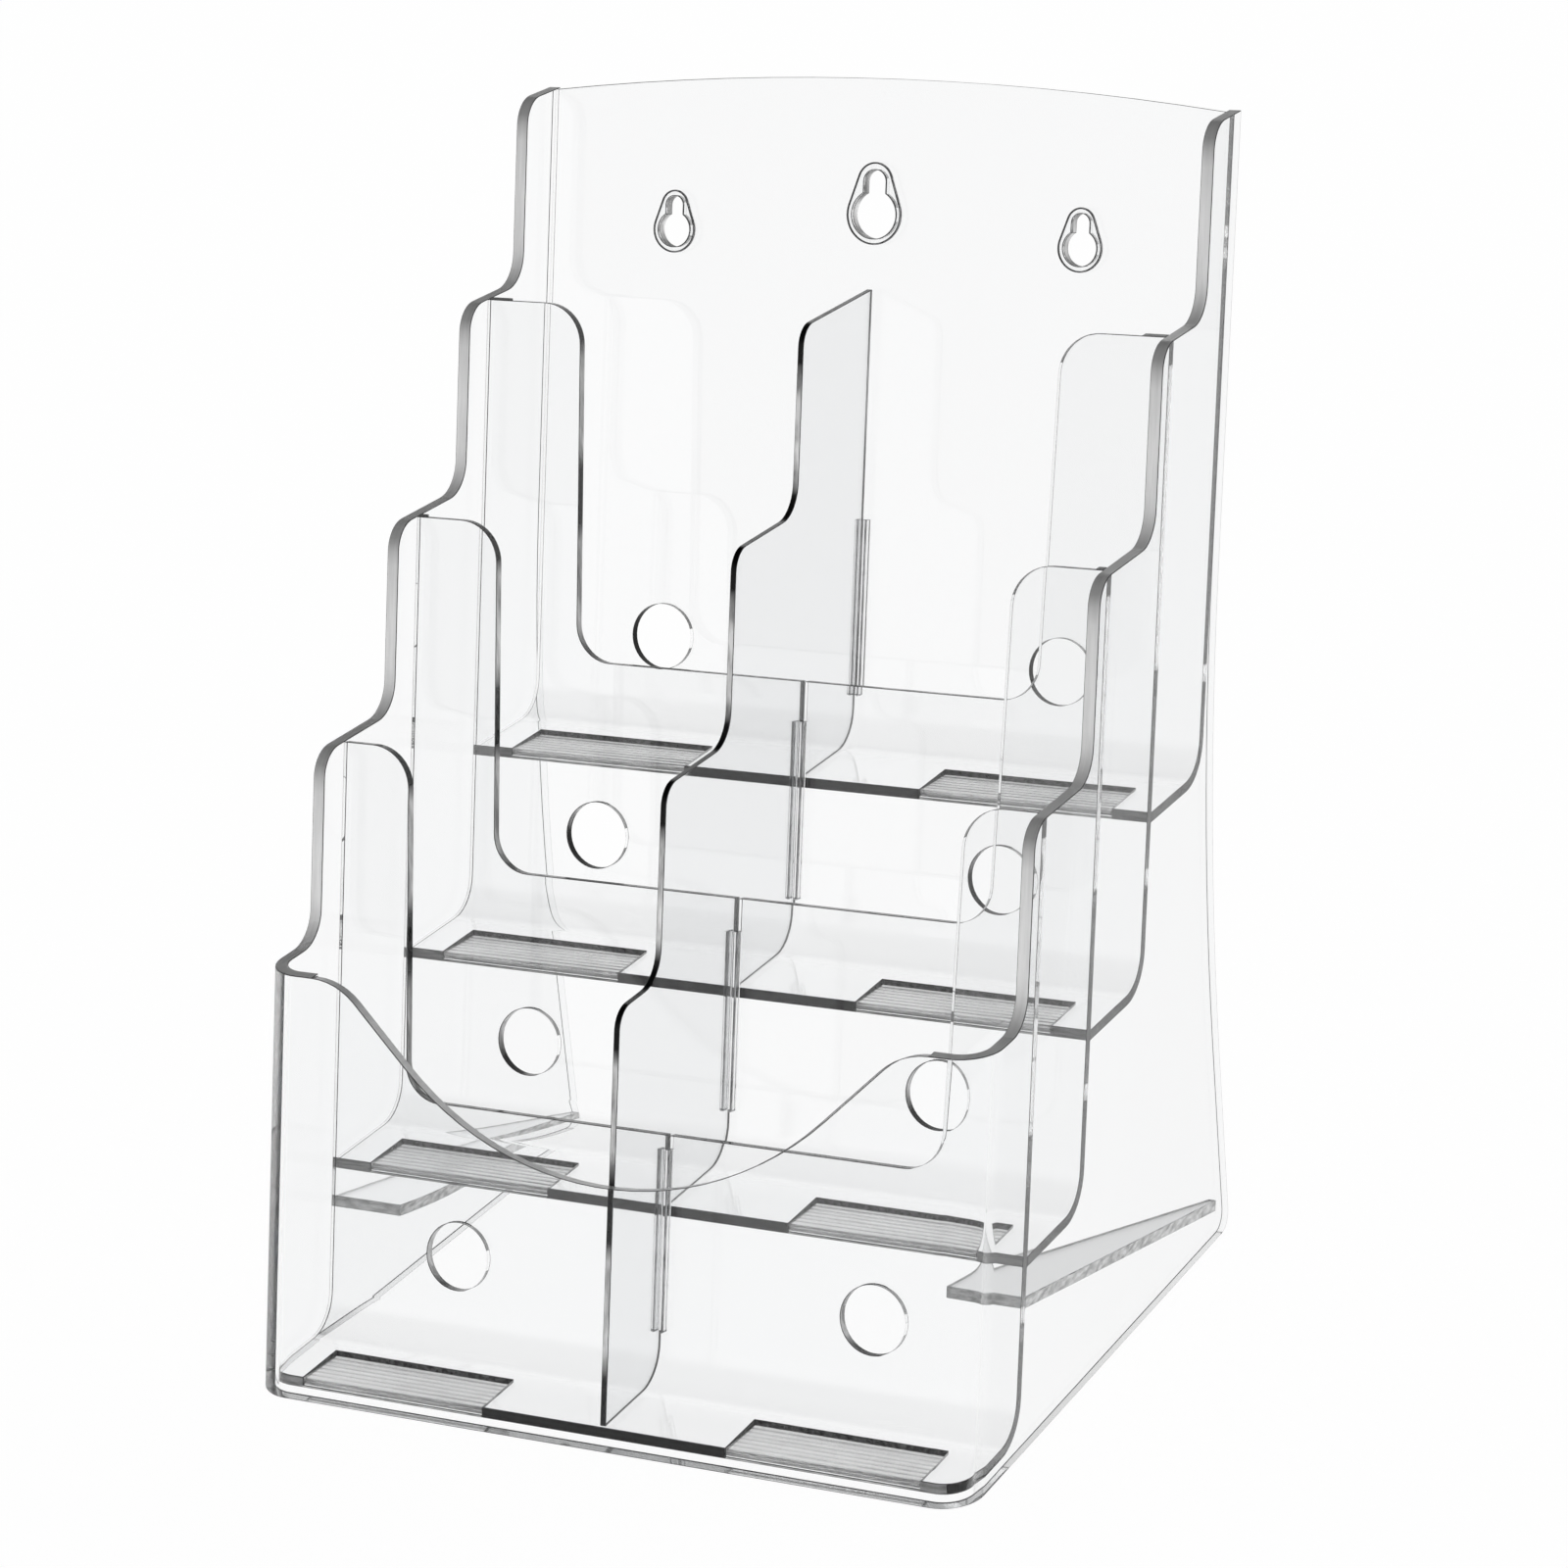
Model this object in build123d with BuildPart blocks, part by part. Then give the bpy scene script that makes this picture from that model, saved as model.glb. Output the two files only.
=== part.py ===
from build123d import *
import math
import os

# Four-tier literature rack in clear sheet. Millimetres, +Z up, the front faces -Y.
# Origin: on the table top, in the middle of the whole rack's width and depth.
#
# Every upright sheet leans back by the same angle. A place across the rack is given as
# an "offset": how far behind the face of the front sheet it is, measured level.
# The tiers are listed from the back and top (0) to the front and bottom (3).

# ---- driving dimensions ----
WIDTH = 238.0  # overall, outside the side walls
FOOT_DEPTH = 208.0  # bottom edge of the side walls, front to back
LEAN = 12.5  # degrees the sheets lean back
WRAP = 4.0  # sheet of the front and side walls
SHEET = 3.2  # sheet of the tiers
BACK_OFFSET = 165.0  # front face of the back sheet
PITCH = 41.75  # from one tier to the next, front to back

WALL_TOP = 352.0  # height of the side walls
ARCH_RISE = 6.6  # crown of the back sheet above the side walls
STEP_TOP = 295.5  # height of the highest step of the side walls
STEP_RISE = 56.25  # from one step to the next
EDGE_AHEAD = 11.0  # side walls stand this far in front of each tier sheet
TOP_EDGE_AHEAD = 18.5  # and this far in front of the back sheet
FLOOR_TOP_TIER = 152.6  # underside of the highest tier floor
FLOOR_RISE = 50.1  # from one floor to the next
BEND = 16.0  # outside radius where a sheet turns into its floor

WRAP_CORNER = 12.0  # outside radius of the two front corners
STEP_CONVEX = 10.0
STEP_CONCAVE = 12.0
FOOT_CORNER = 6.0
FOOT_SPREAD = 3.4  # degrees the rear edge of the foot runs backwards
REAR_SWEEP = 560.0  # radius between the leaning rear edge and the foot

DIP_BOTTOM = 77.0  # lowest point of the front sheet's top edge
DIP_HALF = 101.0  # half width of the dip where it meets the level edge
DIP_ANGLE = 44.0  # degrees, steepest part of the dip
DIP_LOW_R = 98.0  # radius of its bottom arc

OPEN_HALF = (0.0, 81.5, 86.5, 92.0)  # half width of each tier's cut-out at its top
OPEN_TAPER = 2.5  # each side comes in by this much at the bottom
OPEN_BOTTOM = (0.0, 186.0, 133.5, 77.5)  # height of each cut-out's lower edge
OPEN_TOP_R = 13.0
OPEN_LOW_R = 12.0

HOLE_X = 70.0
HOLE_DIAMETER = 21.0
HOLE_ABOVE_FLOOR = 26.5

DIVIDER = 2.0  # thickness of the lift-out divider
SIDE_PLAY = 0.3  # each side of the divider
EDGE_PLAY = 0.4  # between the divider's edges and the sheets, or the keyhole pads
REST_PLAY = 0.1  # under the divider
DIVIDER_AHEAD = 9.75  # front edge of the divider ahead of each tier sheet
DIVIDER_TOP = 295.0
DIVIDER_CONVEX = 8.0  # corners on the front edge of the divider
RIB_WIDTH = 1.4
RIB_DEPTH = 3.0
RIB_LOW = 14.0  # ribs start this far above their floor
RIB_HIGH = 70.0  # and end this far above it

GRIP_WIDTH = 62.0
GRIP_X = 71.5  # middle of each ribbed strip
GRIP_DEPTH = 19.5
GRIP_POCKET = 2.4  # depth of the pocket the strip lies in
GRIP_TEETH = 7
GRIP_LOW = 0.5  # thickness of the strip at the back
TOOTH_DROP = 0.22  # each tread falls by this much towards the front

BRACE = 3.6
BRACE_WIDE = 23.5  # across, where it meets the lower sheet
BRACE_BEGIN = 20.5  # across, where its straight taper begins
BRACE_TIP = 2.5  # across, at its rear end
BRACE_FLARE = 40.0  # length ahead of the taper
BRACE_TOP = 44.0  # height of its top face at the lower sheet
BRACE_LENGTH = 154.0

SMALL_KEY = (70.0, 310.0, 5.5, 7.5)  # x, height, head radius, boss radius
SMALL_SLOT = (7.7, 2.9, 4.9)  # slot centre above head, slot radius, boss radius there
LARGE_KEY = (0.0, 317.3, 7.5, 9.5)
LARGE_SLOT = (10.2, 3.7, 6.2)
BOSS = 1.4  # thickness of the raised pads round the keyholes
CUT_MARGIN = 0.2  # cuts run past the faces they open by this much

# ---- derived values ----
SLOPE = math.tan(math.radians(LEAN))
COS_LEAN = math.cos(math.radians(LEAN))
SIN_LEAN = math.sin(math.radians(LEAN))
INNER = WIDTH - 2 * WRAP
SHEET_LEVEL = SHEET / COS_LEAN  # sheet thickness measured level
WRAP_LEVEL = WRAP / COS_LEAN
OVERALL_DEPTH = BACK_OFFSET + (WALL_TOP + ARCH_RISE) * SLOPE + SHEET_LEVEL * COS_LEAN**2
FRONT_Y = -OVERALL_DEPTH / 2
TIERS = ("top", "upper", "middle", "lower")
PANEL = [BACK_OFFSET - PITCH * k for k in range(4)]
FLOOR = [FLOOR_TOP_TIER - FLOOR_RISE * k for k in range(4)]
STEP = [STEP_TOP - STEP_RISE * k for k in range(4)]
AHEAD = [PANEL[1] + SHEET_LEVEL, PANEL[2] + SHEET_LEVEL, PANEL[3] + SHEET_LEVEL, WRAP_LEVEL]


def at(offset, height):
    """Point of the side view (y, z) at an offset behind the front face."""
    return (FRONT_Y + offset + height * SLOPE, height)


def face_of(offset):
    """Plane of a leaning face: x across, y up the sheet, normal to the front."""
    return Plane(origin=(0, FRONT_Y + offset, 0), x_dir=(1, 0, 0), z_dir=(0, -COS_LEAN, SIN_LEAN))


def up(height):
    """Distance up a leaning sheet that reaches the given height."""
    return height / COS_LEAN


SIDE = Plane(origin=(0, 0, 0), x_dir=(0, 1, 0), z_dir=(1, 0, 0))


def save(part, name):
    part.label = name
    export_step(part, f"parts/{name}.step")


os.makedirs("parts", exist_ok=True)

# ---- outer wrap: front sheet and both side walls bent from one piece ----
edge = [PANEL[0] - TOP_EDGE_AHEAD] + [PANEL[k] - EDGE_AHEAD for k in range(1, 4)]
rear_offset = BACK_OFFSET + SHEET_LEVEL
foot_slope = math.tan(math.radians(FOOT_SPREAD))
turn_height = (FOOT_DEPTH - rear_offset) / (SLOPE + foot_slope)
dip_low = up(DIP_BOTTOM)
dip_high = up(STEP[3])
steep = math.radians(DIP_ANGLE)
both_radii = (DIP_HALF * math.tan(steep) - dip_high + dip_low) / (1 / math.cos(steep) - 1)
dip_high_r = both_radii - DIP_LOW_R

# Across the wrap, square to its front face.
WRAP_PLAN = Plane(origin=(0, FRONT_Y, 0), x_dir=(1, 0, 0), z_dir=(0, SIN_LEAN, COS_LEAN))


def wrap_inside():
    """Inner outline of the wrap, open far behind the rack."""
    with Locations((0, WRAP + FOOT_DEPTH)):
        RectangleRounded(INNER, 2 * FOOT_DEPTH, WRAP_CORNER - WRAP)


with BuildPart() as outer_wrap:
    with BuildSketch(WRAP_PLAN):
        with Locations((0, FOOT_DEPTH - WRAP)):
            RectangleRounded(WIDTH, 2 * FOOT_DEPTH - 2 * WRAP, WRAP_CORNER)
    extrude(amount=2 * WALL_TOP, both=True)
    with BuildSketch(WRAP_PLAN):
        wrap_inside()
    extrude(amount=2 * WALL_TOP, both=True, mode=Mode.SUBTRACT)
    with BuildSketch(SIDE):
        with BuildLine():
            Polyline(
                at(-WRAP, 0),
                at(-WRAP, STEP[3]),
                at(edge[3], STEP[3]),
                at(edge[3], STEP[2]),
                at(edge[2], STEP[2]),
                at(edge[2], STEP[1]),
                at(edge[1], STEP[1]),
                at(edge[1], STEP[0]),
                at(edge[0], STEP[0]),
                at(edge[0], WALL_TOP),
                at(rear_offset, WALL_TOP),
                at(rear_offset, turn_height),
                (FRONT_Y + FOOT_DEPTH, 0),
                close=True,
            )
        make_face()
        for k in range(1, 4):
            corner = at(edge[k], STEP[k - 1])
            fillet(vertices().sort_by_distance((*corner, 0))[0], STEP_CONVEX)
        for k in range(4):
            corner = at(edge[k], STEP[k])
            fillet(vertices().sort_by_distance((*corner, 0))[0], STEP_CONCAVE)
        corner = at(edge[0], WALL_TOP)
        fillet(vertices().sort_by_distance((*corner, 0))[0], STEP_CONVEX)
        corner = at(rear_offset, turn_height)
        fillet(vertices().sort_by_distance((*corner, 0))[0], REAR_SWEEP)
        corner = (FRONT_Y + FOOT_DEPTH, 0)
        fillet(vertices().sort_by_distance((*corner, 0))[0], FOOT_CORNER)
    extrude(amount=WIDTH, both=True, mode=Mode.INTERSECT)
    # The dip: a wide arc at the bottom, a straight, and a tight arc turning level again.
    with BuildSketch(face_of(0)):
        with BuildLine():
            low_right = JernArc((0, dip_low), (1, 0), DIP_LOW_R, DIP_ANGLE)
            low_left = JernArc((0, dip_low), (-1, 0), DIP_LOW_R, -DIP_ANGLE)
            high_right = JernArc((DIP_HALF, dip_high), (-1, 0), dip_high_r, DIP_ANGLE)
            high_left = JernArc((-DIP_HALF, dip_high), (1, 0), dip_high_r, -DIP_ANGLE)
            Line(low_right @ 1, high_right @ 1)
            Line(low_left @ 1, high_left @ 1)
            Polyline(
                (DIP_HALF, dip_high),
                (DIP_HALF, dip_high + WRAP),
                (-DIP_HALF, dip_high + WRAP),
                (-DIP_HALF, dip_high),
            )
        make_face()
    extrude(amount=2 * WRAP, both=True, mode=Mode.SUBTRACT)
save(outer_wrap.part, "outer_wrap")


def bent_sheet(k):
    """Leaning sheet that turns forward into its floor, with its two round holes and
    two shallow pockets for the ribbed strips, open at the front edge of the floor."""
    top = WALL_TOP + ARCH_RISE if k == 0 else STEP[k - 1]
    front, floor, ahead = PANEL[k], FLOOR[k], AHEAD[k]
    back = front + SHEET_LEVEL
    with BuildPart() as sheet:
        with BuildSketch(SIDE):
            with BuildLine():
                Polyline(
                    at(front, top),
                    at(front, floor + SHEET),
                    at(ahead, floor + SHEET),
                    at(ahead, floor),
                    at(back, floor),
                    at(back, top),
                    close=True,
                )
            make_face()
            y, z = at(front, floor + SHEET)
            fillet(vertices().sort_by_distance((y, z, 0))[0], BEND - SHEET)
            y, z = at(back, floor)
            fillet(vertices().sort_by_distance((y, z, 0))[0], BEND)
        extrude(amount=INNER / 2, both=True)
        with BuildSketch(face_of(front)):
            hole_up = up(floor + SHEET + HOLE_ABOVE_FLOOR)
            with Locations((-HOLE_X, hole_up), (HOLE_X, hole_up)):
                Circle(HOLE_DIAMETER / 2)
        extrude(amount=2 * SHEET, both=True, mode=Mode.SUBTRACT)
        y, z = at(ahead, floor + SHEET)
        pocket_y = y + (GRIP_DEPTH - SHEET) / 2
        with Locations((-GRIP_X, pocket_y, z), (GRIP_X, pocket_y, z)):
            Box(GRIP_WIDTH, GRIP_DEPTH + SHEET, 2 * GRIP_POCKET, mode=Mode.SUBTRACT)
    return sheet.part


def keyhole_outline(head_r, slot_up, slot_r):
    """Round head with a narrower slot running up from it."""
    Circle(head_r)
    with Locations((0, slot_up / 2)):
        Rectangle(2 * slot_r, slot_up)
    with Locations((0, slot_up)):
        Circle(slot_r)


# ---- back sheet, the full height of the rack ----
keyholes = [
    ("left", -SMALL_KEY[0], SMALL_KEY, SMALL_SLOT),
    ("centre", LARGE_KEY[0], LARGE_KEY, LARGE_SLOT),
    ("right", SMALL_KEY[0], SMALL_KEY, SMALL_SLOT),
]
arch_radius = ((INNER / 2) ** 2 + ARCH_RISE**2) / (2 * ARCH_RISE)
with BuildPart() as top_sheet:
    add(bent_sheet(0))
    with BuildSketch(face_of(PANEL[0])):
        for name, x, key, slot in keyholes:
            with Locations((x, up(key[1]))):
                keyhole_outline(key[2], slot[0], slot[1])
    extrude(amount=2 * SHEET, both=True, mode=Mode.SUBTRACT)
    with BuildSketch(face_of(PANEL[0])):
        with BuildLine():
            side_up = up(WALL_TOP)
            crown_up = up(WALL_TOP + ARCH_RISE)
            ThreePointArc((-INNER / 2, side_up), (0, crown_up), (INNER / 2, side_up))
            Polyline(
                (INNER / 2, side_up),
                (INNER / 2, crown_up + SHEET),
                (-INNER / 2, crown_up + SHEET),
                (-INNER / 2, side_up),
            )
        make_face()
    extrude(amount=2 * SHEET, both=True, mode=Mode.SUBTRACT)
save(top_sheet.part, "top_sheet")


def tier_sheet(k, name):
    """Front of the tier above with a wide cut-out, then the back and floor of its own."""
    with BuildPart() as sheet:
        add(bent_sheet(k))
        low, high = up(OPEN_BOTTOM[k]), up(STEP[k - 1])
        wide, narrow = OPEN_HALF[k], OPEN_HALF[k] - OPEN_TAPER
        with BuildSketch(face_of(PANEL[k])):
            with BuildLine():
                Polyline(
                    (-narrow, low),
                    (narrow, low),
                    (wide, high),
                    (wide + 2 * OPEN_TOP_R, high),
                    (wide + 2 * OPEN_TOP_R, high + SHEET),
                    (-wide - 2 * OPEN_TOP_R, high + SHEET),
                    (-wide - 2 * OPEN_TOP_R, high),
                    (-wide, high),
                    close=True,
                )
            make_face()
            for side in (-1, 1):
                fillet(vertices().sort_by_distance((side * narrow, low, 0))[0], OPEN_LOW_R)
                fillet(vertices().sort_by_distance((side * wide, high, 0))[0], OPEN_TOP_R)
        extrude(amount=2 * SHEET, both=True, mode=Mode.SUBTRACT)
        slot_low = up(FLOOR[k - 1] + SHEET)
        with BuildSketch(face_of(PANEL[k])):
            with Locations((0, (slot_low + low) / 2)):
                Rectangle(DIVIDER + 2 * SIDE_PLAY, low - slot_low + CUT_MARGIN)
        extrude(amount=2 * SHEET, both=True, mode=Mode.SUBTRACT)
        if k == 3:
            # The front corners of the lowest floor follow the bend of the wrap.
            with BuildSketch(WRAP_PLAN):
                wrap_inside()
            extrude(amount=2 * WALL_TOP, both=True, mode=Mode.INTERSECT)
    save(sheet.part, name)


for k in range(1, 4):
    tier_sheet(k, f"{TIERS[k]}_sheet")

# ---- divider: one plate across every tier, with the same steps as the walls ----
step_edge = [PANEL[k] - DIVIDER_AHEAD for k in range(1, 4)]
front_edge = WRAP_LEVEL + EDGE_PLAY
# The rearmost edge stands further off, so that the divider lifts past the keyhole pad.
rear_edge = [PANEL[k] - EDGE_PLAY for k in range(4)]
rear_edge[0] -= BOSS / COS_LEAN
rest = [FLOOR[k] + SHEET + REST_PLAY for k in range(4)]
with BuildPart() as divider:
    with BuildSketch(SIDE):
        with BuildLine():
            Polyline(
                at(rear_edge[0], DIVIDER_TOP),
                at(rear_edge[0], rest[0]),
                at(rear_edge[1], rest[0]),
                at(rear_edge[1], rest[1]),
                at(rear_edge[2], rest[1]),
                at(rear_edge[2], rest[2]),
                at(rear_edge[3], rest[2]),
                at(rear_edge[3], rest[3]),
                at(front_edge, rest[3]),
                at(front_edge, STEP[3]),
                at(step_edge[2], STEP[3]),
                at(step_edge[2], STEP[2]),
                at(step_edge[1], STEP[2]),
                at(step_edge[1], STEP[1]),
                at(step_edge[0], STEP[1]),
                at(step_edge[0], DIVIDER_TOP),
                close=True,
            )
        make_face()
        for k in range(4):
            y, z = at(rear_edge[k], rest[k])
            fillet(vertices().sort_by_distance((y, z, 0))[0], BEND - SHEET + EDGE_PLAY)
        for k in range(3):
            y, z = at(step_edge[k], STEP[k + 1])
            fillet(vertices().sort_by_distance((y, z, 0))[0], STEP_CONCAVE)
            y, z = at(step_edge[k], DIVIDER_TOP if k == 0 else STEP[k])
            fillet(vertices().sort_by_distance((y, z, 0))[0], DIVIDER_CONVEX)
        y, z = at(front_edge, STEP[3])
        fillet(vertices().sort_by_distance((y, z, 0))[0], DIVIDER_CONVEX)
    extrude(amount=DIVIDER / 2, both=True)
save(divider.part, "divider")

# ---- guide ribs: a pair on the back of each pocket, either side of the divider ----
for k in range(4):
    for side, name in ((-1, "left"), (1, "right")):
        rib_x = side * (DIVIDER / 2 + SIDE_PLAY + RIB_WIDTH / 2)
        rib_up = up(FLOOR[k] + SHEET) + (RIB_LOW + RIB_HIGH) / 2
        with BuildPart() as rib:
            with BuildSketch(face_of(PANEL[k])):
                with Locations((rib_x, rib_up)):
                    Rectangle(RIB_WIDTH, RIB_HIGH - RIB_LOW)
            extrude(amount=RIB_DEPTH)
            chamfer(rib.faces().sort_by(Axis.Y)[0].edges(), RIB_WIDTH / 4)
        save(rib.part, f"guide_rib_{TIERS[k]}_{name}")

# ---- ribbed strips in the floors, their treads rising to the front ----
for k in range(4):
    low = FLOOR[k] + SHEET - GRIP_POCKET
    front_low = at(AHEAD[k], low)
    front_high = at(AHEAD[k], FLOOR[k] + SHEET)
    rear_y = at(AHEAD[k], FLOOR[k] + SHEET)[0] + GRIP_DEPTH
    pitch = (rear_y - front_high[0]) / (GRIP_TEETH + 1)
    rise = (GRIP_POCKET - GRIP_LOW) / GRIP_TEETH
    treads = []
    for tooth in range(GRIP_TEETH):
        height = low + GRIP_LOW + rise * tooth
        treads.append((rear_y - pitch * tooth, height + TOOTH_DROP))
        treads.append((rear_y - pitch * (tooth + 1), height))
    for side, name in ((-1, "left"), (1, "right")):
        with BuildPart() as grip:
            with BuildSketch(SIDE):
                with BuildLine():
                    Polyline(
                        front_low,
                        (rear_y, low),
                        *treads,
                        (rear_y - pitch * GRIP_TEETH, FLOOR[k] + SHEET),
                        front_high,
                        close=True,
                    )
                make_face()
            extrude(amount=GRIP_WIDTH / 2, both=True)
        save(grip.part.moved(Location((side * GRIP_X, 0, 0))), f"grip_strip_{TIERS[k]}_{name}")

# ---- braces: square to the lower sheet, down along each wall to the foot ----
brace_y, brace_z = at(PANEL[3] + SHEET_LEVEL, BRACE_TOP)
brace_plane = Plane(origin=(0, brace_y, brace_z), x_dir=(1, 0, 0), z_dir=(0, SIN_LEAN, COS_LEAN))
for side, name in ((-1, "left"), (1, "right")):
    with BuildPart() as brace:
        with BuildSketch(brace_plane):
            with BuildLine():
                wall = side * INNER / 2
                wide = side * (INNER / 2 - BRACE_WIDE)
                narrow = side * (INNER / 2 - BRACE_BEGIN)
                tip = side * (INNER / 2 - BRACE_TIP)
                Polyline(
                    (narrow, BRACE_FLARE),
                    (tip, BRACE_LENGTH),
                    (wall, BRACE_LENGTH),
                    (wall, 0),
                    (wide, 0),
                )
                taper = (tip - narrow, BRACE_LENGTH - BRACE_FLARE)
                Spline((wide, 0), (narrow, BRACE_FLARE), tangents=((0, 1), taper))
            make_face()
        extrude(amount=-BRACE)
    save(brace.part, f"foot_brace_{name}")

# ---- raised pads round the keyholes ----
for name, x, key, slot in keyholes:
    with BuildPart() as boss:
        with BuildSketch(face_of(PANEL[0])):
            with Locations((x, up(key[1]))):
                Circle(key[3])
                with Locations((0, slot[0])):
                    Circle(slot[2])
            make_hull()
        extrude(amount=BOSS)
        chamfer(boss.faces().sort_by(Axis.Y)[0].edges(), BOSS / 4)
        with BuildSketch(face_of(PANEL[0])):
            with Locations((x, up(key[1]))):
                keyhole_outline(key[2], slot[0], slot[1])
        extrude(amount=2 * BOSS, both=True, mode=Mode.SUBTRACT)
    save(boss.part, f"keyhole_pad_{name}")
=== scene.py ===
import math

import bpy
import bmesh
import numpy as np
from bpy.props import FloatProperty, FloatVectorProperty, IntProperty, PointerProperty
from bpy.types import Operator, Panel, PropertyGroup
from mathutils import Matrix, Vector


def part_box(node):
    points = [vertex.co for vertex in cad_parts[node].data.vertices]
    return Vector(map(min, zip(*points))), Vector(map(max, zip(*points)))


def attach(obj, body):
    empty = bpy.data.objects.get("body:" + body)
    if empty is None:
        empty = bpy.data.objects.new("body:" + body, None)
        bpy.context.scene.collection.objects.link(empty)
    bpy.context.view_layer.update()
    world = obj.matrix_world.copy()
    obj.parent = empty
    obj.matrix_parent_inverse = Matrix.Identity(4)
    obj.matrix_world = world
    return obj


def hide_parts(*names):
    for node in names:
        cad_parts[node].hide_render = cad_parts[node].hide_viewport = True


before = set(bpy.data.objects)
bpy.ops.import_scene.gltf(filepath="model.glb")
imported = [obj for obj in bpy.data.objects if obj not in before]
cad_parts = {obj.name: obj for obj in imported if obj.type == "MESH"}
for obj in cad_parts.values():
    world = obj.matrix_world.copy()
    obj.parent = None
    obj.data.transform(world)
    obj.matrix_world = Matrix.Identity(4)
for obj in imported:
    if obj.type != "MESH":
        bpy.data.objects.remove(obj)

bl_info = {
    "name": "Clear Tiered Rack",
    "version": (1, 0, 0),
    "blender": (4, 5, 0),
    "location": "3D View > Sidebar > Rack",
    "description": "Builds the polished clear sheets of a four-tier literature rack and its stage",
    "category": "Object",
}

MM = 0.001
RACK = "rack"
DIVIDER = "divider"
TIERS = ("top", "upper", "middle", "lower")
SIDES = ("left", "right")
LEAN = math.radians(12.5)  # the sheets lean back by this much
FRONT = np.array((0.0, -math.cos(LEAN), math.sin(LEAN)))  # normal of every leaning front face
UP_SHEET = np.array((0.0, math.sin(LEAN), math.cos(LEAN)))
STEP_TOP = 295.5 * MM  # height of one step of the walls; the others follow at every rise
STEP_RISE = 56.25 * MM
SHARP = math.radians(30)  # edges sharper than this get a rim
SIDE_MARGIN = 0.5 * MM  # faces this near the side walls count as cemented to them
POCKET_MARGIN = 0.3 * MM  # faces this near a ribbed strip count as walls of its pocket
FLOOR_ZONE = 8.0 * MM  # the lowest part of a tier sheet, where it bends into its floor
FRONT_ZONE = 2.0 * MM  # the frontmost part of a tier sheet, where its floor ends
CEMENTED_RIM = 0.8  # share of the sheet rim where a sheet meets a side wall
SHADED_RIM = 0.3  # share of the sheet rim along edges that face left
STRIP_ENDS = (0.96, 0.99, 1.0, 1.0, 0.99, 0.96)  # shares of a strip's section towards its ends
DIM_EDGE = 0.06  # share of light through the edges of the sheets and the divider, low so that their painted light and shade shows
DARK_EDGE = 0.03  # share of light through the front edges of the floors, low so that their painted shade shows
FLOOR_DROP = 0.02 * MM  # the floor lies this far below the rack, so that they share no plane
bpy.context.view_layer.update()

# Noise cells for each metre along x, y and z: long cells give streaks along that axis.
EVEN = (1.0, 1.0, 1.0)
WALL_STREAKS = (900.0, 60.0, 60.0)
SHEET_STREAKS = (300.0, 300.0, 60.0)
FLOOR_STREAKS = (120.0, 500.0, 900.0)
STRIP_STREAKS = (25.0, 1500.0, 200.0)
PAD_STREAKS = (500.0, 500.0, 500.0)
BRACE_STREAKS = (200.0, 200.0, 700.0)

NOISE_DETAIL = 3.0
SWELL_HEIGHT = 0.5 * MM
NOISE_RANGE = (0.35, 0.65)  # what the noise mostly stays within

# Painted light and shade of a cut edge, in place of the light refracted through the clear plastic: how
# bright the edge is at each share of the way up from one step to the next.
WALL_EDGE_PAINTED_LIGHT = (
    (0.0, 0.65), (0.10, 0.85), (0.24, 1.00), (0.50, 1.00), (0.78, 0.85), (0.93, 0.42), (1.0, 0.48)
)
SHEET_EDGE_PAINTED_LIGHT = ((0.0, 0.0), (0.10, 0.02), (0.24, 0.75), (0.70, 0.55), (0.80, 0.01), (1.0, 0.0))
# Painted light and shade of the front edge of a floor, in place of refracted light: how bright it is by
# its distance from the middle of the rack.
FLOOR_EDGE_PAINTED_LIGHT = ((0.0, 0.0), (0.352, 0.0), (0.354, 0.60), (0.890, 0.60), (0.892, 0.22), (1.0, 0.22))
PAD_EDGE_TONES = ((0.0, 0.9), (1.0, 0.9))  # the same all the way up, as are the braces
BRACE_EDGE_TONES = ((0.0, 0.7), (1.0, 0.7))


# ---- settings ----


def length(name, text, default):
    """Size property in metres."""
    return FloatProperty(name=name, description=text, default=default, min=0.0, unit="LENGTH")


def share(name, text, default):
    """Factor property from 0 to 1."""
    return FloatProperty(
        name=name, description=text, default=default, min=0.0, max=1.0, subtype="FACTOR"
    )


def amount(name, text, default):
    """Plain number property."""
    return FloatProperty(name=name, description=text, default=default, min=0.0)


def colour(name, text, default):
    """Colour property."""
    return FloatVectorProperty(
        name=name, description=text, default=default, min=0.0, max=1.0, size=3, subtype="COLOR"
    )


class RackShapeSettings(PropertyGroup):
    """Sizes of the small shapes that polishing adds to the sheets."""

    rim: length("Wall rim", "Width of the rounded rim along the edges of the walls", 0.221 * MM)
    thin_rim: length("Sheet rim", "Width of the rounded rim along the edges of the sheets", 0.2 * MM)
    rim_steps: IntProperty(
        name="Rim steps", description="Facets across each rounded rim", default=3, min=1, max=6
    )
    joint_gap: length("Cement line", "Gap left where two sheets are cemented together", 0.06 * MM)
    ridges: IntProperty(
        name="Ridges", description="Ridges on each ribbed strip", default=7, min=2, max=20
    )
    ridge_height: length("Ridge height", "Height of each ridge of a ribbed strip", 0.18 * MM)
    strip_round: length("Strip rounding", "Length of the rounded ends of a strip", 0.25 * MM)
    ridge_rear: length("Strip rear", "Thickness of a ribbed strip at its rear edge", 0.5 * MM)


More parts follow.
